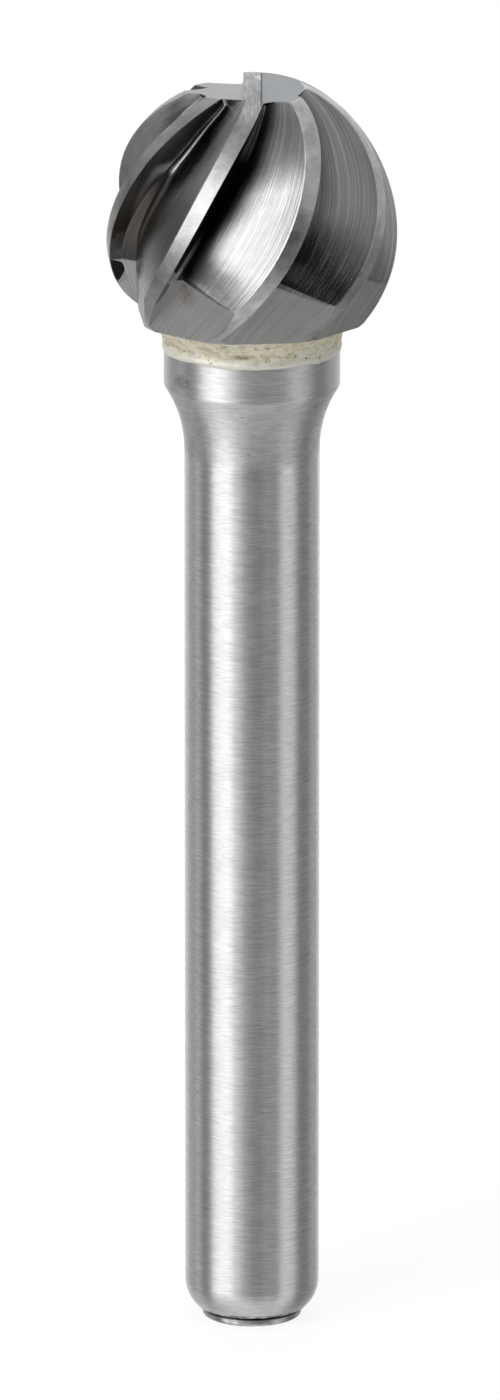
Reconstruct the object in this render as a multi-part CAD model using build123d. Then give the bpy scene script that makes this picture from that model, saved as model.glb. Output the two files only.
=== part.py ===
from build123d import *
from math import atan, cos, degrees, pi, radians, sin
import os

# Ball carbide burr: a fluted carbide head brazed to a turned steel shank.
# Millimetres, +Z from the shank's end face towards the tip of the head.
# The origin is the centre of the end face. Azimuth 0 is -Y and grows towards +X.

# ---- shank -------------------------------------------------------------------
SHANK_D = 6.0             # gripped by the collet
SHANK_LENGTH = 45.0       # from the end face to the joint with the head
COLLAR_D = 7.82           # the wide seat that the head is brazed to
COLLAR_LENGTH = 1.75
COLLAR_EDGE_R = 0.2
EDGE_BAND = 0.01          # how close an edge has to lie to the height it is picked by
NECK_LENGTH = 3.0         # hollow flare from the shank up to the collar
END_ROUND_LENGTH = 1.25   # the rounded run-in at the free end
END_ROUND_DROP = 0.57     # how far the run-in falls inside the shank
END_FACE_D = 4.16
END_LIP_D = 4.46          # the small lip left around the end face
END_LIP_HEIGHT = 0.34
END_GROOVE_WIDTH = 0.12   # fine turned groove between the lip and the run-in
END_GROOVE_DEPTH = 0.06

# ---- braze -------------------------------------------------------------------
BRAZE_THICKNESS = 1.3
BRAZE_FLARE = 0.85        # how far the fillet of filler metal spreads at the head
BRAZE_BEAD = 0.02         # how far the filler stands proud of the collar
BRAZE_BEAD_HEIGHT = 0.12

# ---- head --------------------------------------------------------------------
HEAD_D = 12.98            # across the cutting edges at the widest place
HEAD_RISE = 6.75          # from the widest place to the tip
HEAD_SEAT = 4.17          # from the widest place down to the brazed base

TEETH = 8
LAND_WIDTH = 0.78         # along the rim, from the cutting edge to the heel
FLUTE_DEPTH = 1.32        # down the cutting face, where the flute is full
RAKE = 0.0                # degrees the cutting face leans under the land
GULLET_DROP = 0.65        # of the strip between the cutting face and the gullet's corner
GULLET_SET_OFF = 0.25     # how far off the cutting face's line that corner lies
GULLET_SHARE = 0.3        # share of those two sizes where the flute is full
BACK_RELIEF = 30.0        # degrees between the land and the back at the heel
BACK_CLIMB = 27.0         # degrees that the back rises at as it leaves the gullet's corner
FLUTE_START = 68.0        # latitude in degrees at which each flute begins
FLUTE_START_SHARE = 0.3   # share of its full size that it begins with
FLUTE_FULL = 34.0         # latitude in degrees at which it reaches its full size
FLUTE_FOLD = -11.5        # latitude at which a cutting edge's flute turns straight
FOLD_FALL = 10.3          # degrees lower that the fold meets the next heel
FLUTE_STATIONS = 9
FOLD_DEPTH = 1.15         # of the flute at its fold, where the flat run-out begins
RUNOUT_END = -36.0        # latitude at which it comes out at the cutting edge
RUNOUT_REACH = 1.6        # the run-out's cutter, in lengths from its start to there
RUNOUT_OVERRUN = 1.0      # how far its floor runs on, in line, past the heel
RUNOUT_CLEARANCE = 3.5    # how far the run-out's cutters stand out of the ball
CUTTER_CLEARANCE = 1.2    # how far a flute's own cutter does
CUTTER_OVERRUN = 0.3      # how far its two walls run on, in line, out of the ball

# The cutting edge's azimuth, in radians, against the latitude t in radians:
# EDGE_START + EDGE_TURN t + EDGE_BEND t^2 + EDGE_CURL t^3
EDGE_START = -0.4957
EDGE_TURN = 0.6046
EDGE_BEND = -0.292
EDGE_CURL = 0.242

# ---- tip ---------------------------------------------------------------------
BAR_WIDTH = 0.76          # the land that runs on over the tip
GASH_DEPTHS = (0.46, 0.72)    # right and left of the bar, on the axis
GASH_TILT = 5.3           # degrees
GASH_REACH = 5.0

head_r = HEAD_D / 2
seat_z = SHANK_LENGTH + BRAZE_THICKNESS
head_z = seat_z + HEAD_SEAT
tip_z = head_z + HEAD_RISE
pitch = 2 * pi / TEETH


def edge_azimuth(t):
    return EDGE_START + EDGE_TURN * t + EDGE_BEND * t**2 + EDGE_CURL * t**3


def on_ball(t, azimuth):
    """The point of the ball at latitude t and the given azimuth."""
    rim = head_r * cos(t)
    return Vector(rim * sin(azimuth), -rim * cos(azimuth), head_z + HEAD_RISE * sin(t))


def ball_normal(t, azimuth):
    out = cos(t) / head_r
    up = sin(t) / HEAD_RISE
    return Vector(out * sin(azimuth), -out * cos(azimuth), up).normalized()


def run_between(t, high, low):
    """How far latitude t has come from the high one to the low one, from 0 to 1."""
    high, low = radians(high), radians(low)
    return min(1.0, max(0.0, (high - t) / (high - low)))


def flute_frame(t):
    """The plane across a flute whose edge is at latitude t, its width there, and the
    directions down its cutting face and square off that face, in the plane."""
    start, fold = radians(FLUTE_START), radians(FLUTE_FOLD)
    heel_t = t - radians(FOLD_FALL) * (start - t) / (start - fold)
    edge_at = edge_azimuth(t)
    heel_at = edge_azimuth(heel_t) + pitch - LAND_WIDTH / (head_r * cos(heel_t))
    edge, heel = on_ball(t, edge_at), on_ball(heel_t, heel_at)
    across = (heel - edge).normalized()
    lengthwise = across.cross(ball_normal((t + heel_t) / 2, (edge_at + heel_at) / 2)).normalized()
    plane = Plane(origin=edge, x_dir=across, z_dir=lengthwise)

    # how far the ball's surface leans from the section's own axes at the heel
    normal = ball_normal(heel_t, heel_at)
    lean = atan(normal.dot(plane.x_dir) / normal.dot(plane.y_dir))
    wall_lean = lean - radians(RAKE)
    down_wall = Vector(sin(wall_lean), -cos(wall_lean))
    return plane, (heel - edge).length, lean, down_wall


def gullet(t):
    """The foot of the cutting face and the gullet's corner, in the plane across the flute."""
    _, width, _, down_wall = flute_frame(t)
    growth = sin(run_between(t, FLUTE_START, FLUTE_FULL) * pi / 2)
    size = FLUTE_START_SHARE + (1 - FLUTE_START_SHARE) * growth
    ease = run_between(t, FLUTE_FULL, FLUTE_FOLD)
    depth = (FLUTE_DEPTH + (FOLD_DEPTH - FLUTE_DEPTH) * ease) * size
    share = (GULLET_SHARE + (1 - GULLET_SHARE) * ease) * size
    root = down_wall * depth
    to_heel = (Vector(width, 0) - root).normalized()
    return root - down_wall * GULLET_DROP * share, root + to_heel * GULLET_SET_OFF * share


def flute_section(t):
    """One closed section of a flute's cutter, from a cutting edge to the next heel."""
    plane, width, lean, down_wall = flute_frame(t)
    wall_foot, corner = gullet(t)
    climb = radians(BACK_CLIMB)
    heel_slope = radians(BACK_RELIEF) - lean
    along_back = Vector(cos(heel_slope), sin(heel_slope))
    heel_corner = Vector(width, 0)
    back_head = heel_corner + along_back * CUTTER_OVERRUN
    wall_head = down_wall * -CUTTER_OVERRUN
    back = Spline(
        corner, heel_corner, back_head,
        tangents=[Vector(cos(climb), sin(climb)), along_back],
    )
    rest = Polyline(
        back_head, Vector(width, CUTTER_CLEARANCE), Vector(0, CUTTER_CLEARANCE),
        wall_head, wall_foot, corner)
    return plane.from_local_coords(Wire([back, *rest.edges()]))


def flute_cutter():
    """The solid that one flute removes, lofted along the cutting edge."""
    start, fold = radians(FLUTE_START), radians(FLUTE_FOLD)
    step = (fold - start) / (FLUTE_STATIONS - 1)
    return Solid.make_loft([flute_section(start + i * step) for i in range(FLUTE_STATIONS)])


def runout_cutters():
    """The solids that take a flute on from its fold, flat-floored, to the base: the broad
    floor, and the strip that steps down to it from the cutting face and narrows to a point."""
    fold = radians(FLUTE_FOLD)
    plane, width, _, down_wall = flute_frame(fold)
    wall_foot, corner = gullet(fold)
    heel_corner = Vector(width, 0)
    floor_end = heel_corner + (heel_corner - corner).normalized() * RUNOUT_OVERRUN
    over_corner = Vector(corner.X, RUNOUT_CLEARANCE)
    over_end = Vector(floor_end.X, RUNOUT_CLEARANCE)
    floor = Wire.make_polygon([corner, floor_end, over_end, over_corner])
    strip = Wire.make_polygon(
        [wall_foot, corner, over_corner, down_wall * -RUNOUT_CLEARANCE])

    end = radians(RUNOUT_END)
    tip = on_ball(end, edge_azimuth(end))
    path = (tip - plane.from_local_coords(corner)) * RUNOUT_REACH
    return (
        Solid.extrude(Face(plane.from_local_coords(floor)), path),
        Solid.make_loft([plane.from_local_coords(strip), Vertex(tip)], True),
    )


def half_ball(turn):
    """Half of the ball. One face all the way round, cut by every flute, fails at some sizes."""
    rim = EllipticalCenterArc((0, head_z), head_r, HEAD_RISE, start_angle=-90, arc_size=180)
    profile = make_face([*rim.edges(), Line((0, head_z + HEAD_RISE), (0, head_z - HEAD_RISE))])
    return Rotation(0, 0, turn) * revolve(Plane.XZ * profile, Axis.Z, 180)


def tip_gash(depth, turn):
    """A shallow facet beside the bar, ground to fall slightly along the bar."""
    floor = Location((0, 0, tip_z - depth)) * Rotation(GASH_TILT, 0, 0)
    side = Pos(BAR_WIDTH / 2, -GASH_REACH, 0)
    block = Box(GASH_REACH, 2 * GASH_REACH, GASH_REACH, align=(Align.MIN, Align.MIN, Align.MIN))
    return Rotation(0, 0, turn) * (floor * side * block)


def carbide_head():
    cuts = [
        Rotation(0, 0, degrees(pitch) * i) * cutter
        for cutter in (flute_cutter(), *runout_cutters())
        for i in range(TEETH)
    ]
    cuts += [tip_gash(depth, 180 * i) for i, depth in enumerate(GASH_DEPTHS)]
    below = Box(HEAD_D, HEAD_D, HEAD_D, align=(Align.CENTER, Align.CENTER, Align.MAX))
    cuts.append(Pos(0, 0, seat_z) * below)
    front, back = [half_ball(turn) - cuts for turn in (0, 180)]
    return front.fuse(back)


def turned(outline):
    """The solid turned from half an outline that runs from the axis back to the axis."""
    ends = [outline[0] @ 0, outline[-1] @ 1]
    closed = [*outline, Line(ends[1], ends[0])]
    return revolve(Plane.XZ * make_face(closed), Axis.Z)


def braze_joint():
    """Filler metal between the collar and the head, with a hollow flared rim."""
    low_r = COLLAR_D / 2 + BRAZE_BEAD
    low = (low_r, SHANK_LENGTH + BRAZE_BEAD_HEIGHT)
    high = (low_r + BRAZE_FLARE, seat_z)
    return turned([
        Polyline((0, SHANK_LENGTH), (low_r, SHANK_LENGTH), low),
        TangentArc(low, high, tangent=(0, 1)),
        Line(high, (0, seat_z)),
    ])


def steel_shank():
    shank_r = SHANK_D / 2
    collar_r = COLLAR_D / 2
    lip_r = END_LIP_D / 2
    groove_r = lip_r - END_GROOVE_DEPTH
    groove_top = END_LIP_HEIGHT + END_GROOVE_WIDTH
    round_top = groove_top + END_ROUND_LENGTH
    neck_top = SHANK_LENGTH - COLLAR_LENGTH
    neck_foot = neck_top - NECK_LENGTH

    face_rim = (END_FACE_D / 2, 0)
    lip_side = (lip_r, lip_r - END_FACE_D / 2)
    round_foot = (shank_r - END_ROUND_DROP, groove_top)
    round_head = (shank_r, round_top)
    foot = (shank_r, neck_foot)
    corner = (collar_r, neck_top)
    body = turned([
        Line((0, 0), face_rim),
        TangentArc(lip_side, face_rim, tangent=(0, -1)).reversed(),
        Polyline(lip_side, (lip_r, END_LIP_HEIGHT), (groove_r, END_LIP_HEIGHT),
                 (groove_r, groove_top), round_foot),
        TangentArc(round_head, round_foot, tangent=(0, -1)).reversed(),
        Line(round_head, foot),
        TangentArc(foot, corner, tangent=(0, 1)),
        Polyline(corner, (collar_r, SHANK_LENGTH), (0, SHANK_LENGTH)),
    ])
    collar_edge = body.edges().filter_by(GeomType.CIRCLE).filter_by_position(
        Axis.Z, neck_top - EDGE_BAND, neck_top + EDGE_BAND)
    return fillet(collar_edge, COLLAR_EDGE_R)


nodes = {
    "carbide_head": carbide_head(),
    "braze_joint": braze_joint(),
    "steel_shank": steel_shank(),
}

os.makedirs("parts", exist_ok=True)
for name, solid in nodes.items():
    export_step(solid, f"parts/{name}.step")
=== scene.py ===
import math

import bmesh
import bpy
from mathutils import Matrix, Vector, noise


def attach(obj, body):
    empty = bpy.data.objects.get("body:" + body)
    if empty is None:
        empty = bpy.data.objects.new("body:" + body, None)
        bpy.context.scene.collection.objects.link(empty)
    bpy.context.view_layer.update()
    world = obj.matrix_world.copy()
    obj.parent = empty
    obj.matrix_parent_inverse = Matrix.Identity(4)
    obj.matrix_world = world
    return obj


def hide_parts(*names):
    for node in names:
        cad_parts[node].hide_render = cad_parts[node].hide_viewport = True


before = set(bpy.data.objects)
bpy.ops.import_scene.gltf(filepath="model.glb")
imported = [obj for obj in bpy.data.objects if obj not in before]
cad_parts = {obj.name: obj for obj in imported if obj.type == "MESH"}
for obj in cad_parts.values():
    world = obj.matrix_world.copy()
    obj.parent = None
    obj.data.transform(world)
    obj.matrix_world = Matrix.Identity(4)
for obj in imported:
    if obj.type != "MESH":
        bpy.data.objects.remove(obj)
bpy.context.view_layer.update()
MM = 0.001

# ---- camera, fitted to the photograph's 500 x 1400 frame ----------------------
CAMERA_DISTANCE = 760 * MM
CAMERA_RISE = math.radians(16.0)
CAMERA_TARGET = Vector((0, 0, 28.63 * MM))
IMAGE_HEIGHT = 1400            # pixels
FOCAL_LENGTH = 17077           # pixels
AXIS_OFFSET = 2                # pixels that the burr stands right of the middle
SENSOR = 36.0

# ---- the burr's own sizes in mm, as in the solids ------------------------------
HEAD_R = 6.49
HEAD_RISE = 6.75
HEAD_Z = 50.47
TEETH = 8
EDGE_LAW = (-0.4957, 0.6046, -0.292, 0.242)   # azimuth of a cutting edge by latitude
FOLD_Z = (49.12, 47.96)        # of the fold in each flute, at the edge and at the heel
HEEL_SHARE = 0.84              # how far round from an edge the next heel lies
SEAT_Z = 46.3                  # the brazed base of the head
SHANK_END = 45.0
COLLAR_R = 3.91
COLLAR_Z = 43.25               # the foot of the collar
NECK_Z = 40.25                 # the foot of the neck
GROOVE_Z = (0.34, 0.46)        # of the fine groove at the end
GASH_Z = (56.5, 56.76)         # of the facets left and right of the tip's bar, on the axis
GASH_SLOPE = 0.0928            # of those facets
BAR_X = 0.4                    # the bar's right side


def add_camera():
    data = bpy.data.cameras.new("camera")
    data.sensor_width = SENSOR
    data.lens = FOCAL_LENGTH / IMAGE_HEIGHT * SENSOR
    data.shift_x = -AXIS_OFFSET / IMAGE_HEIGHT
    data.clip_start = 0.05
    data.clip_end = 20
    camera = bpy.data.objects.new("camera", data)
    away = Vector((0, -math.cos(CAMERA_RISE), math.sin(CAMERA_RISE)))
    camera.location = CAMERA_TARGET + away * CAMERA_DISTANCE
    camera.rotation_euler = (-away).to_track_quat("-Z", "Y").to_euler()
    bpy.context.scene.collection.objects.link(camera)
    bpy.context.scene.camera = camera


class Graph:
    """Short calls for building a node tree."""

    def __init__(self, tree):
        self.tree = tree
        tree.nodes.clear()

    def node(self, kind, **settings):
        made = self.tree.nodes.new(kind)
        for name, value in settings.items():
            setattr(made, name, value)
        return made

    def plug(self, socket, value):
        if isinstance(value, bpy.types.NodeSocket):
            self.tree.links.new(value, socket)
        else:
            socket.default_value = value

    def math(self, operation, a, b=0.0, c=0.0, clamp=False):
        made = self.node("ShaderNodeMath", operation=operation, use_clamp=clamp)
        for socket, value in zip(made.inputs, (a, b, c)):
            self.plug(socket, value)
        return made.outputs[0]

    def times(self, a, b):
        return self.math("MULTIPLY", a, b)

    def plus(self, a, b):
        return self.math("ADD", a, b)

    def less(self, a, b):
        return self.math("SUBTRACT", a, b)

    def vector(self, operation, a, b):
        made = self.node("ShaderNodeVectorMath", operation=operation)
        self.plug(made.inputs[0], a)
        self.plug(made.inputs[1], b)
        return made.outputs["Value"] if operation == "DISTANCE" else made.outputs[0]

    def split(self, vector):
        made = self.node("ShaderNodeSeparateXYZ")
        self.plug(made.inputs[0], vector)
        return made.outputs[0], made.outputs[1], made.outputs[2]

    def join(self, x, y, z):
        made = self.node("ShaderNodeCombineXYZ")
        for socket, value in zip(made.inputs, (x, y, z)):
            self.plug(socket, value)
        return made.outputs[0]

    def step(self, value, low, high):
        """0 below low, 1 above high, smooth between."""
        made = self.node("ShaderNodeMapRange", interpolation_type="SMOOTHSTEP")
        self.plug(made.inputs["Value"], value)
        self.plug(made.inputs["From Min"], low)
        self.plug(made.inputs["From Max"], high)
        return made.outputs["Result"]

    def band(self, value, low, high, soft):
        rise = self.step(value, low - soft, low + soft)
        fall = self.step(value, high - soft, high + soft)
        return self.times(rise, self.less(1.0, fall))

    def blend(self, share, a, b, how="MIX"):
        made = self.node("ShaderNodeMix", data_type="RGBA", blend_type=how)
        self.plug(made.inputs["Factor"], share)
        for socket, value in ((made.inputs[6], a), (made.inputs[7], b)):
            if isinstance(value, tuple) and len(value) == 3:
                value = (*value, 1.0)
            self.plug(socket, value)
        return made.outputs[2]

    def mix(self, share, a, b):
        made = self.node("ShaderNodeMix", data_type="FLOAT")
        self.plug(made.inputs["Factor"], share)
        self.plug(made.inputs[2], a)
        self.plug(made.inputs[3], b)
        return made.outputs[0]

    def noise(self, vector, scale=1.0, detail=2.0, rough=0.5):
        made = self.node("ShaderNodeTexNoise")
        self.plug(made.inputs["Vector"], vector)
        made.inputs["Scale"].default_value = scale
        made.inputs["Detail"].default_value = detail
        made.inputs["Roughness"].default_value = rough
        return made.outputs["Fac"]

    def swing(self, texture, amount):
        """A texture that runs around a half, made to run around 0."""
        return self.times(self.less(texture, 0.5), amount)

    def grey(self, value):
        made = self.node("ShaderNodeCombineColor")
        for socket in made.inputs:
            self.plug(socket, value)
        return made.outputs[0]

    def bump(self, height, distance, strength=1.0, normal=None):
        made = self.node("ShaderNodeBump")
        made.inputs["Strength"].default_value = strength
        made.inputs["Distance"].default_value = distance
        self.plug(made.inputs["Height"], height)
        if normal is not None:
            self.plug(made.inputs["Normal"], normal)
        return made.outputs["Normal"]

    def place(self):
        """The point's own place in the part's frame, in mm."""
        coords = self.node("ShaderNodeTexCoord").outputs["Object"]
        return self.vector("MULTIPLY", coords, (1000.0, 1000.0, 1000.0))

    def stretched(self, place, x, y, z):
        return self.vector("MULTIPLY", place, (x, y, z))

    def blob(self, place, centre, radii, soft=0.6):
        """1 near the centre, 0 a little outside the radii."""
        shrunk = tuple(1 / r for r in radii)
        here = self.vector("MULTIPLY", place, shrunk)
        there = tuple(c * s for c, s in zip(centre, shrunk))
        far = self.vector("DISTANCE", here, there)
        return self.less(1.0, self.step(far, 1.0 - soft, 1.0 + soft * 0.3))


def new_material(name):
    material = bpy.data.materials.new(name)
    material.use_nodes = True
    g = Graph(material.node_tree)
    shader = g.node("ShaderNodeBsdfPrincipled")
    output = g.node("ShaderNodeOutputMaterial")
    g.plug(output.inputs["Surface"], shader.outputs[0])
    return material, g, shader


# ---- studio: a grey room with a tall strip light, on a white ground -----------------
# Azimuth 0 is the camera's side and grows to the right. All angles are in degrees.
WHITE = 1.0
ROOM = 0.62
BEHIND = 1.05
BEHIND_FROM = (142, 164)
STRIP = 3.9
STRIP_AZIMUTHS = (-71, -35)
STRIP_HEIGHTS = (-3, 52)
STRIP_SOFT = (4, 6)
STRIP_LEAN = 0.2               # degrees to the right per degree of height
# azimuths, elevations, softness across and up, level; a later patch lies over the earlier
PATCHES = (
    ((-42, 40), (-75, -23), (12, 4), 1.0),       # bright ground in front
    ((42, 78), (-60, -6), (8, 6), 0.95),         # and at the right
    ((112, 155), (-60, -12), (6, 4), 0.36),      # dim ground behind, at the right
    ((-131, -108), (-10, 17), (5, 5), 0.12),     # a dark card behind, at the left
    ((-16, 49), (-22, 24), (7, 4), 0.03),        # the dark around the camera
    ((-2, 22), (-34, -16), (6, 5), 0.22),        # and below it
    ((-100, -78), (-60, 70), (6, 20), 0.24),     # dim walls at the left
    ((84, 116), (-60, 40), (6, 20), 0.25),       # and at the right
)

FLOOR_SIZE = 4
FLOOR_GREY = (0.8, 0.8, 0.8, 1)
FLOOR_GLOW = 1.165
FLOOR_GLOW_SHARE = 0.75        # the rest keeps the burr's shadow


def build_world():
    world = bpy.data.worlds.new("studio")
    bpy.context.scene.world = world
    world.use_nodes = True
    g = Graph(world.node_tree)
    x, y, z = g.split(g.node("ShaderNodeTexCoord").outputs["Generated"])
    azimuth = g.math("DEGREES", g.math("ARCTAN2", x, g.times(y, -1.0)))
    elevation = g.math("DEGREES", g.math("ARCSINE", z))
    leaning = g.less(azimuth, g.times(elevation, STRIP_LEAN))
    behind = g.step(g.math("ABSOLUTE", azimuth), *BEHIND_FROM)

    def patch(level, around, azimuths, heights, soft, tone):
        across = g.band(around, *azimuths, soft[0])
        along = g.band(elevation, *heights, soft[1])
        return g.mix(g.times(across, along), level, tone)

    level = g.mix(behind, ROOM, BEHIND)
    for azimuths, heights, soft, tone in PATCHES:
        level = patch(level, azimuth, azimuths, heights, soft, tone)
    level = patch(level, leaning, STRIP_AZIMUTHS, STRIP_HEIGHTS, STRIP_SOFT, STRIP)

    # the white ground shows to the camera, and behind the burr in the metal too
    rays = g.node("ShaderNodeLightPath")
    mirrored = g.math("MAXIMUM", rays.outputs["Is Glossy Ray"], rays.outputs["Is Transmission Ray"])
    white = g.math("MAXIMUM", rays.outputs["Is Camera Ray"], g.times(mirrored, behind))
    background = g.node("ShaderNodeBackground")
    g.plug(background.inputs["Strength"], g.mix(white, level, WHITE))
    output = g.node("ShaderNodeOutputWorld")
    g.plug(output.inputs["Surface"], background.outputs[0])


def add_floor():
    bpy.ops.mesh.primitive_plane_add(size=FLOOR_SIZE)
    floor = bpy.context.object
    floor.name = "floor"
    floor.visible_glossy = False
    material = bpy.data.materials.new("floor")
    material.use_nodes = True
    g = Graph(material.node_tree)
    diffuse = g.node("ShaderNodeBsdfDiffuse")
    diffuse.inputs["Color"].default_value = FLOOR_GREY
    glow = g.node("ShaderNodeEmission")
    glow.inputs["Strength"].default_value = FLOOR_GLOW
    total = g.node("ShaderNodeMixShader")
    rays = g.node("ShaderNodeLightPath")
    g.plug(total.inputs[0], g.times(rays.outputs["Is Camera Ray"], FLOOR_GLOW_SHARE))
    g.plug(total.inputs[1], diffuse.outputs[0])
    g.plug(total.inputs[2], glow.outputs[0])
    output = g.node("ShaderNodeOutputMaterial")
    g.plug(output.inputs["Surface"], total.outputs[0])
    floor.data.materials.append(material)


# ---- the head ------------------------------------------------------------------
# Flutes are numbered from the one that faces the camera, to the right.
LEFT_FLUTE, SECOND_FLUTE, THIRD_FLUTE, BRIGHT_FLUTE, RIGHT_FLUTE = 5, 6, 7, 0, 1
SEED_STEP = 7.3                # between the textures of neighbouring flutes
LAND_DEPTH = (0.003, 0.007)    # where a cut begins under the ball's surface, in radii

LAND_GREY = (0.44, 0.44, 0.445)
FLUTE_GREY = (0.36, 0.36, 0.365)
TIP_GREY = (0.43, 0.45, 0.47)
RUNOUT_GREY = (0.50, 0.495, 0.485)
RUST = (0.20, 0.14, 0.11)
SCORCH = (0.04, 0.03, 0.03)
HAZE = (0.22, 0.17, 0.12)
BLUSH = (0.5, 0.38, 0.34)
CREVICE_SHADE = (0.04, 0.04, 0.04)
# marks on the head: centre and radii, in mm
RUST_PLACE = ((-3.0, -4.5, 48.3), (0.55, 0.6, 0.62))
SCORCH_PLACE = ((-3.05, -4.45, 48.75), (0.2, 0.3, 0.16))
HAZE_PLACE = ((-5.2, -2.2, 51.5), (1.6, 2.4, 3.4))
BLUSH_PLACE = ((1.28, -6.1, 48.6), (0.3, 0.5, 0.22))

GRIND_BUMP = 0.011 * MM
GRAIN_BUMP = 0.004 * MM


class Ball:
    """Where a point of the head lies against the teeth, and the textures laid along them."""

    def __init__(self, g, place):
        self.g = g
        self.x, y, self.z = g.split(place)
        up = g.times(g.less(self.z, HEAD_Z), 1 / HEAD_RISE)
        rim = g.math("SQRT", g.plus(g.times(self.x, self.x), g.times(y, y)))
        out = g.times(rim, 1 / HEAD_R)
        self.latitude = g.math("ARCTAN2", up, out)
        azimuth = g.math("ARCTAN2", self.x, g.times(y, -1.0))
        law = EDGE_LAW[-1]
        for term in EDGE_LAW[-2::-1]:
            law = g.plus(g.times(self.latitude, law), term)
        turns = g.times(g.less(azimuth, law), TEETH / (2 * math.pi))
        flute = g.math("FLOOR", turns)
        self.share = g.less(turns, flute)     # 0 at a cutting edge, 1 at the next
        self.number = g.math("WRAP", flute, TEETH, 0.0)
        self.seed = g.times(self.number, SEED_STEP)

        # masks: the flutes and the tip's facets, the run-outs, the tip's facets
        depth = g.less(1.0, g.math("SQRT", g.plus(g.times(up, up), g.times(out, out))))
        self.cut = g.step(depth, *LAND_DEPTH)
        fold = g.mix(g.times(self.share, 1 / HEEL_SHARE), *FOLD_Z)
        self.runout = g.times(self.cut, g.step(g.less(fold, self.z), -0.05, 0.05))
        slope = g.times(y, GASH_SLOPE)
        left_z, right_z = g.less(GASH_Z[0], slope), g.plus(slope, GASH_Z[1])
        facet_z = g.mix(g.step(self.x, -0.1, 0.1), left_z, right_z)
        off_facet = g.math("ABSOLUTE", g.less(self.z, facet_z))
        self.tip = g.times(self.cut, g.less(1.0, g.step(off_facet, 0.02, 0.05)))

    def within(self, flute):
        return self.g.band(self.number, flute - 0.5, flute + 0.5, 0.1)

    def streaks(self, around, along, detail, rough):
        """Noise with so many strokes across a flute's pitch and per radian along it."""
        g = self.g
        coords = g.join(g.times(self.share, around), g.times(self.latitude, along), self.seed)
        return g.noise(coords, 1.0, detail, rough)


def painted_flute_shade(g, ball):
    """Painted shade in the gullets and on the cutting faces, darker in some flutes than in others,
    and painted highlights along some gullets.
    """
    high = g.step(ball.latitude, 0.10, 0.35)
    bottom = g.less(1.0, g.step(g.less(ball.share, g.times(high, 0.08)), 0.06, 0.44))
    wall = g.step(ball.share, 0.90, 0.94)
    # painted shade: how dark each flute's gullet bottom and wall are painted
    bottom_painted_shade = g.mix(ball.within(THIRD_FLUTE), 0.55, 0.78)
    bottom_painted_shade = g.mix(ball.within(BRIGHT_FLUTE), bottom_painted_shade, 0.95)
    wall_painted_shade = g.mix(ball.within(SECOND_FLUTE), 0.78, g.mix(high, 0.95, 0.75))
    wall_painted_shade = g.mix(ball.within(LEFT_FLUTE), wall_painted_shade, 0.15)
    shade = g.math("MAXIMUM", g.times(bottom, bottom_painted_shade), g.times(wall, wall_painted_shade))
    shade = g.less(1.0, shade)

    # painted highlights: bright lines along the corners of the bright flute's gullet
    upper_painted_glint = g.times(g.band(ball.share, 0.014, 0.055, 0.012), g.step(ball.latitude, 0.72, 0.88))
    low = g.less(1.0, g.step(ball.latitude, -0.1, 0.25))
    lower_painted_glint = g.times(g.band(ball.share, 0.0, 0.026, 0.008), low)
    corner_painted_glint = g.math("MAXIMUM", upper_painted_glint, lower_painted_glint)
    shade = g.mix(g.times(corner_painted_glint, ball.within(BRIGHT_FLUTE)), shade, 1.2)
    # painted highlight: a bright line down the third flute's gullet
    centre = g.mix(g.step(ball.latitude, 0.42, 0.68), 0.18, 0.02)
    off_highlight_line = g.math("ABSOLUTE", g.less(ball.share, centre))
    painted_highlight_line = g.times(g.less(1.0, g.step(off_highlight_line, 0.01, 0.085)), g.step(ball.latitude, -0.15, 0.1))
    shade = g.mix(g.times(painted_highlight_line, ball.within(THIRD_FLUTE)), shade, 2.4)
    return g.mix(ball.runout, shade, g.less(1.0, g.times(wall, 0.7)))


def flute_tone(g, ball, fine, coarse):
    calm = g.mix(ball.runout, 1.0, 0.45)      # the run-outs' lines are weaker
    hair = ball.streaks(130.0, 0.5, 0.0, 0.5)
    dark_hairs = g.step(hair, 0.58, 0.66)
    bright_hairs = g.less(1.0, g.step(hair, 0.32, 0.40))
    tone = g.plus(1.0, g.swing(fine, g.times(calm, 1.3)))
    tone = g.plus(tone, g.swing(coarse, g.times(calm, 0.5)))
    tone = g.less(tone, g.times(dark_hairs, g.times(calm, 0.28)))
    tone = g.plus(tone, g.times(bright_hairs, g.times(calm, 0.5)))
    return g.times(tone, painted_flute_shade(g, ball))


def land_tone(g, ball, grain, patches, vertical):
    tone = g.plus(1.0, g.swing(grain, 0.45))
    tone = g.plus(tone, g.swing(patches, 0.35))
    tone = g.plus(tone, g.swing(ball.streaks(5.0, 8.0, 2.0, 0.5), 0.9))
    # painted light: the lands of the bright and the right flute are made lighter, more so higher up
    lit_lands = g.math("MAXIMUM", ball.within(BRIGHT_FLUTE), ball.within(RIGHT_FLUTE))
    land_light_gain = g.mix(g.step(ball.latitude, -0.2, 0.1), 1.2, 1.55)
    tone = g.times(tone, g.mix(lit_lands, 1.0, land_light_gain))
    # the bar across the tip was ground along the burr
    bar = g.times(g.band(ball.x, -1.0, BAR_X, 0.05), g.step(ball.z, 55.9, 56.3))
    return g.times(tone, g.mix(bar, 1.0, g.plus(1.15, g.swing(vertical, 1.6))))


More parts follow.
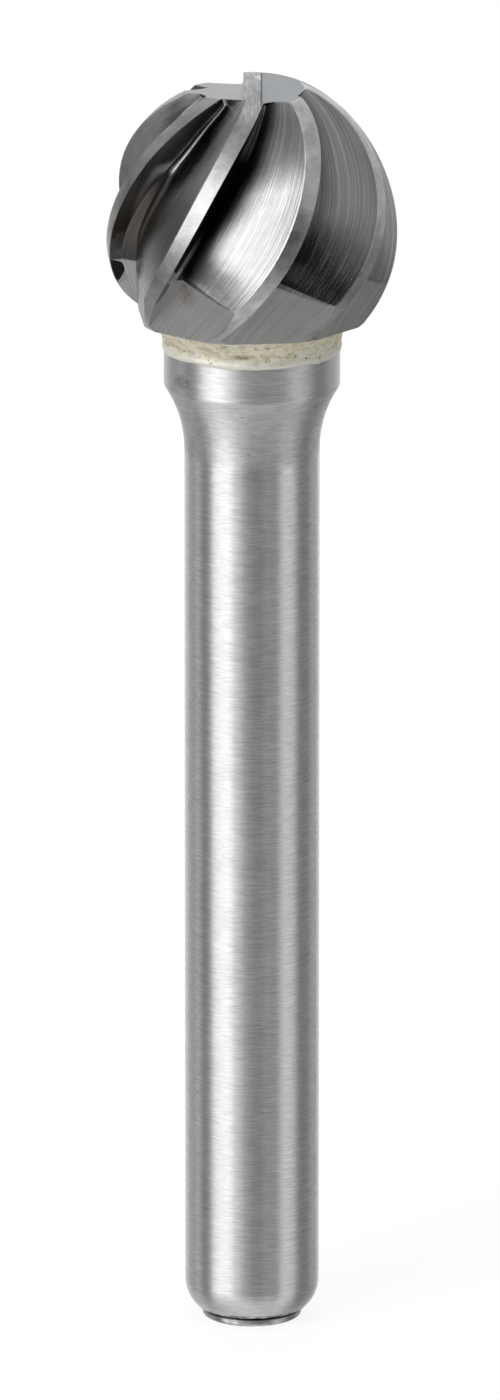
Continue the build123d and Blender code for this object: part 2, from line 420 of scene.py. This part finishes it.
def carbide():
    material, g, shader = new_material("carbide")
    place = g.place()
    ball = Ball(g, place)
    cut, runout, tip = ball.cut, ball.runout, ball.tip

    # grinding lines run along the flutes, fine and coarse
    fine = ball.streaks(130.0, 1.1, 3.0, 0.7)
    coarse = ball.streaks(26.0, 0.6, 2.0, 0.5)
    cross = ball.streaks(9.0, 60.0, 3.0, 0.6)
    vertical = g.noise(g.stretched(place, 14.0, 1.5, 1.5), 1.0, 3.0, 0.6)
    patches = g.noise(place, 2.7, 3.0, 0.6)
    grain = g.noise(place, 9.0, 4.0, 0.65)
    cloud = g.noise(place, 0.9, 3.0, 0.6)

    lines = g.plus(g.times(fine, 0.7), g.times(coarse, 0.3))
    relief = g.mix(cut, g.plus(g.times(cross, 0.45), g.times(grain, 0.35)), lines)
    relief = g.mix(tip, relief, g.times(vertical, 0.6))
    normal = g.bump(relief, GRIND_BUMP, 1.0)
    normal = g.bump(grain, GRAIN_BUMP, 0.6, normal)
    g.plug(shader.inputs["Normal"], normal)

    rough = g.mix(cut, g.plus(0.28, g.times(patches, 0.14)), g.plus(0.11, g.times(fine, 0.14)))
    rough = g.mix(runout, rough, g.plus(0.34, g.times(cloud, 0.16)))
    rough = g.mix(tip, rough, 0.30)
    g.plug(shader.inputs["Roughness"], rough)

    tone = g.mix(cut, land_tone(g, ball, grain, patches, vertical), flute_tone(g, ball, fine, coarse))
    tone = g.mix(tip, tone, g.plus(0.95, g.swing(grain, 0.35)))
    tone = g.times(tone, g.plus(0.86, g.times(cloud, 0.28)))
    base = g.blend(cut, LAND_GREY, FLUTE_GREY)
    base = g.blend(tip, base, TIP_GREY)
    base = g.blend(runout, base, RUNOUT_GREY)
    color = g.blend(1.0, base, g.grey(tone), "MULTIPLY")

    rust = g.times(g.blob(place, *RUST_PLACE), g.step(grain, 0.32, 0.6))
    color = g.blend(g.times(rust, 0.6), color, RUST)
    color = g.blend(g.times(g.blob(place, *SCORCH_PLACE), 0.8), color, SCORCH)
    haze = g.times(g.blob(place, *HAZE_PLACE), cut)
    color = g.blend(g.times(haze, 0.15), color, HAZE)
    color = g.blend(g.times(g.blob(place, *BLUSH_PLACE), 0.4), color, BLUSH)
    # painted shade: a dark strip on the tip's facet at the foot of the bar's right side
    shade_beside_bar = g.times(tip, g.band(ball.x, BAR_X - 0.04, BAR_X + 0.05, 0.03))
    color = g.blend(g.times(shade_beside_bar, 0.8), color, CREVICE_SHADE)
    g.plug(shader.inputs["Base Color"], color)
    shader.inputs["Metallic"].default_value = 1.0
    return material


# ---- the shank -----------------------------------------------------------------
STEEL_GREY = (0.84, 0.84, 0.845)
NECK_GREEN = (0.66, 0.67, 0.62)
COLLAR_TINT = (0.84, 0.84, 0.92)
HEAT_TINT = (0.66, 0.63, 0.68)
SMUDGE = (0.16, 0.16, 0.16)
SCRATCH = (0.3, 0.3, 0.29)
SOIL = (0.40, 0.40, 0.36)
NICK = (0.35, 0.35, 0.33)
SOOT = (0.10, 0.10, 0.095)
GROOVE_SHADE = (0.02, 0.02, 0.02)
LIP_DULL = (0.42, 0.41, 0.38)
# marks on the collar and the neck: centre and radii, in mm
SMUDGE_PLACE = ((-3.1, -2.35, 43.9), (0.6, 0.7, 0.35))
SCRATCH_PLACE = ((0.2, -3.85, 43.75), (1.7, 0.6, 0.28))
NICK_PLACE = ((-2.75, -2.2, 42.1), (0.45, 0.9, 0.75))

BRUSH_BUMP = 0.008 * MM


def steel():
    material, g, shader = new_material("steel")
    place = g.place()
    x, y, z = g.split(place)
    neck = g.band(z, NECK_Z - 0.1, COLLAR_Z + 0.05, 0.25)
    collar = g.step(z, COLLAR_Z - 0.02, COLLAR_Z + 0.12)
    groove = g.band(z, GROOVE_Z[0] - 0.05, GROOVE_Z[1] + 0.04, 0.03)
    lip = g.less(1.0, g.step(z, GROOVE_Z[0] - 0.02, GROOVE_Z[0]))
    off_axis = g.math("ABSOLUTE", x)
    side = g.times(g.step(off_axis, 1.9, 2.6), g.less(1.0, collar))

    brushed = g.noise(g.stretched(place, 1.5, 1.5, 19.0), 1.0, 3.0, 0.65)
    long_lines = g.noise(g.stretched(place, 0.7, 0.7, 14.0), 1.0, 2.0, 0.55)
    rings = g.noise(g.stretched(place, 0.15, 0.15, 26.0), 1.0, 2.0, 0.5)
    cloud = g.noise(place, 0.75, 3.0, 0.6)
    grain = g.noise(place, 11.0, 4.0, 0.6)
    aslant = g.join(g.times(g.plus(z, g.times(y, 1.3)), 9.0), g.times(z, 0.6), 0.0)
    slant = g.noise(aslant, 1.0, 2.0, 0.5)

    relief = g.plus(g.times(brushed, 0.7), g.times(long_lines, 0.5))
    relief = g.mix(collar, relief, g.plus(g.times(rings, 0.8), g.times(brushed, 0.3)))
    relief = g.mix(g.times(neck, 0.6), relief, grain)
    relief = g.plus(relief, g.times(g.times(side, slant), 0.5))
    g.plug(shader.inputs["Normal"], g.bump(relief, BRUSH_BUMP, 0.8))

    rough = g.plus(0.33, g.swing(cloud, 0.12))
    rough = g.mix(neck, rough, 0.50)
    rough = g.mix(collar, rough, 0.46)
    rough = g.mix(groove, rough, 0.6)
    g.plug(shader.inputs["Roughness"], rough)
    shader.inputs["Anisotropic"].default_value = 0.9
    shader.inputs["Anisotropic Rotation"].default_value = 0.25
    tangent = g.node("ShaderNodeTangent", direction_type="RADIAL", axis="Z")
    g.plug(shader.inputs["Tangent"], tangent.outputs[0])

    tone = g.plus(0.97, g.swing(brushed, 0.9))
    tone = g.plus(tone, g.swing(long_lines, 0.22))
    tone = g.plus(tone, g.swing(cloud, 0.12))
    tone = g.less(tone, g.times(g.step(slant, 0.55, 0.7), g.times(side, 0.12)))
    color = g.blend(1.0, STEEL_GREY, g.grey(tone), "MULTIPLY")

    mottle = g.step(g.noise(place, 2.6, 4.0, 0.65), 0.42, 0.66)
    color = g.blend(g.times(neck, g.times(mottle, 0.35)), color, NECK_GREEN)
    tint = g.times(collar, g.step(off_axis, 2.2, 3.6))
    color = g.blend(g.times(tint, 0.4), color, COLLAR_TINT)
    near_braze = g.step(z, SHANK_END - 0.45, SHANK_END)
    color = g.blend(g.times(near_braze, 0.3), color, HEAT_TINT)
    smudge = g.times(g.blob(place, *SMUDGE_PLACE), g.step(grain, 0.35, 0.6))
    color = g.blend(g.times(smudge, 0.6), color, SMUDGE)
    hairlines = g.noise(g.stretched(place, 0.25, 0.25, 60.0), 1.0, 1.0, 0.5)
    scratch = g.times(g.blob(place, *SCRATCH_PLACE), g.step(hairlines, 0.5, 0.62))
    color = g.blend(g.times(scratch, 0.5), color, SCRATCH)
    blots = g.noise(g.stretched(place, 1.3, 1.3, 3.2), 1.0, 4.0, 0.7)
    soil = g.times(neck, g.step(blots, 0.6, 0.72))
    color = g.blend(g.times(soil, 0.5), color, SOIL)
    falling = g.join(g.times(g.less(x, g.times(z, -0.75)), 9.0), g.times(z, 0.5), 0.0)
    diagonal = g.noise(falling, 1.0, 2.0, 0.5)
    nicks = g.times(g.blob(place, *NICK_PLACE), g.step(diagonal, 0.5, 0.62))
    color = g.blend(g.times(nicks, 0.5), color, NICK)

    # the free end: soot above the groove, the groove painted near black as painted shade, and a dull
    # lip
    patchy = g.step(g.noise(g.stretched(place, 2.4, 2.4, 6.0), 1.0, 3.0, 0.6), 0.44, 0.56)
    soot = g.times(g.band(z, GROOVE_Z[1] - 0.05, GROOVE_Z[1] + 0.16, 0.04), patchy)
    color = g.blend(g.times(soot, 0.75), color, SOOT)
    color = g.blend(g.times(groove, g.mix(patchy, 0.8, 1.0)), color, GROOVE_SHADE)
    color = g.blend(g.times(lip, g.mix(patchy, 0.25, 0.7)), color, LIP_DULL)
    g.plug(shader.inputs["Base Color"], color)
    shader.inputs["Metallic"].default_value = 1.0
    return material


# ---- the braze -----------------------------------------------------------------
BRAZE_AROUND = 640             # points around the ring
BRAZE_UP = 30                  # and up its skin
BRAZE_TOP_R = 4.76
BRAZE_INNER_R = 3.4            # inside the joint, out of sight
LIP_DROP = 0.14                # how far the lower lip laps the collar
INNER_DROP = 0.3
PROUD = 0.025                  # how far the skin stands off the collar
FLARE_BEND = 2.2
FLARE_SHORT = 0.03             # how far inside BRAZE_TOP_R the flare ends
BEAD = 0.05                    # the rolled lower lip
BEAD_TURNS = 5                 # it takes a fifth of the skin's height
WAVES = ((2.1, 3.0, 0.16), (7.0, 9.0, 0.05))           # of the lip: count, seed, height
LUMPS = ((1.3, 0.085), (4.0, 0.045), (11.0, 0.020))    # of the skin: per mm, height
PIT_SCALE = Vector((5.5, 5.5, 7.5))
PIT_SEED = Vector((5, 1, 2))
PIT_FROM = 0.38
PIT_DEPTH = 0.10
TIP_AZIMUTH = -0.20            # of the foot of one cutting edge, where the filler climbs
CLIMB_WIDTH = 0.07             # radians
CLIMB_OUT = 0.36
CLIMB_UP = 0.20
CLIMB_BEND = 6                 # how late on the way up it starts
FADE_STRETCH = 1.02            # the lumps fade out just under the head

FILLER_DULL_GOLD = (0.93, 0.87, 0.65)
FILLER_PALE = (0.96, 0.94, 0.83)
FILLER_BROWN = (0.58, 0.50, 0.34)
FILLER_PIT = (0.22, 0.17, 0.09)
FILLER_HOLE = (0.14, 0.11, 0.06)
FILLER_RUST = (0.60, 0.34, 0.22)
HOLES_PLACE = ((-0.4, -4.2, 45.45), (0.65, 0.8, 0.14))
FILLER_BUMP = 0.03 * MM


def outward(angle):
    return Vector((math.sin(angle), -math.cos(angle), 0))


def braze_point(angle, rise):
    """A point of the filler's skin: lumpy, with a wavy lower lip lapping the collar."""
    around = outward(angle)
    foot_z = SHANK_END - LIP_DROP
    for count, seed, height in WAVES:
        foot_z += noise.noise(around * count + Vector((0, 0, seed))) * height
    z = foot_z + (SEAT_Z - foot_z) * rise
    flare_size = BRAZE_TOP_R - COLLAR_R - FLARE_SHORT
    flare = flare_size * (1 - math.sqrt(max(0.0, 1 - rise ** FLARE_BEND)))
    bead = BEAD * math.sin(math.pi * min(1.0, rise * BEAD_TURNS))
    r = COLLAR_R + PROUD + flare + bead
    spot = around * r + Vector((0, 0, z))
    fade = math.sin(math.pi * min(1.0, rise * FADE_STRETCH))
    for per_mm, height in LUMPS:
        r += fade * height * noise.noise(spot * per_mm)
    r -= fade * PIT_DEPTH * max(0.0, noise.noise(spot * PIT_SCALE + PIT_SEED) - PIT_FROM)
    half_pitch = math.pi / TEETH
    off_tip = (angle - TIP_AZIMUTH + half_pitch) % (2 * half_pitch) - half_pitch
    climb = math.exp(-(off_tip / CLIMB_WIDTH) ** 2) * rise ** CLIMB_BEND
    return around * (r + CLIMB_OUT * climb) + Vector((0, 0, z + CLIMB_UP * climb))


def add_braze():
    mesh = bpy.data.meshes.new("braze_filler")
    bm = bmesh.new()
    angles = [2 * math.pi * column / BRAZE_AROUND for column in range(BRAZE_AROUND)]
    rings = []
    for row in range(BRAZE_UP + 1):
        rings.append([bm.verts.new(braze_point(angle, row / BRAZE_UP) * MM) for angle in angles])
    for z in (SEAT_Z, SHANK_END - INNER_DROP):
        inner = [outward(angle) * BRAZE_INNER_R + Vector((0, 0, z)) for angle in angles]
        rings.append([bm.verts.new(spot * MM) for spot in inner])
    rings.append(rings[0])
    for low, high in zip(rings, rings[1:]):
        for column in range(BRAZE_AROUND):
            after = (column + 1) % BRAZE_AROUND
            bm.faces.new((low[column], low[after], high[after], high[column]))
    bmesh.ops.recalc_face_normals(bm, faces=bm.faces)
    for face in bm.faces:
        face.smooth = True
    bm.to_mesh(mesh)
    bm.free()
    piece = bpy.data.objects.new("braze_filler", mesh)
    bpy.context.scene.collection.objects.link(piece)
    mesh.materials.append(filler_metal())
    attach(piece, "root")
    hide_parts("braze_joint")


def filler_metal():
    material, g, shader = new_material("filler_metal")
    place = g.place()
    z = g.split(place)[2]
    cloud = g.noise(place, 1.3, 4.0, 0.6)
    grain = g.noise(place, 8.0, 5.0, 0.7)
    speck = g.noise(place, 19.0, 3.0, 0.6)
    relief = g.plus(g.times(grain, 0.7), g.times(speck, 0.4))
    g.plug(shader.inputs["Normal"], g.bump(relief, FILLER_BUMP, 0.7))
    g.plug(shader.inputs["Roughness"], g.plus(0.40, g.times(grain, 0.25)))

    lip = g.less(1.0, g.step(z, SHANK_END + 0.05, SHANK_END + 0.5))
    pale = g.math("MAXIMUM", g.step(cloud, 0.42, 0.66), lip)
    color = g.blend(pale, FILLER_DULL_GOLD, FILLER_PALE)
    dull = g.step(g.noise(g.stretched(place, 1.6, 1.6, 4.0), 1.0, 4.0, 0.65), 0.46, 0.62)
    color = g.blend(g.times(dull, g.mix(lip, 0.62, 0.08)), color, FILLER_BROWN)
    pits = g.step(g.noise(g.stretched(place, 3.6, 3.6, 5.5), 1.0, 3.0, 0.6), 0.62, 0.70)
    color = g.blend(g.times(pits, 0.7), color, FILLER_PIT)
    holes = g.times(g.blob(place, *HOLES_PLACE), g.step(speck, 0.42, 0.52))
    color = g.blend(g.times(holes, 0.8), color, FILLER_HOLE)
    rust = g.times(g.step(g.noise(place, 1.7, 4.0, 0.7), 0.56, 0.68), g.step(z, 45.5, 45.9))
    color = g.blend(g.times(rust, 0.45), color, FILLER_RUST)
    g.plug(shader.inputs["Base Color"], color)
    shader.inputs["Metallic"].default_value = 0.4
    return material


def dress(node, material):
    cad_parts[node].data.materials.clear()
    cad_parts[node].data.materials.append(material)


bpy.context.scene.view_settings.view_transform = "Standard"
add_camera()
build_world()
add_floor()
dress("carbide_head", carbide())
dress("steel_shank", steel())
add_braze()
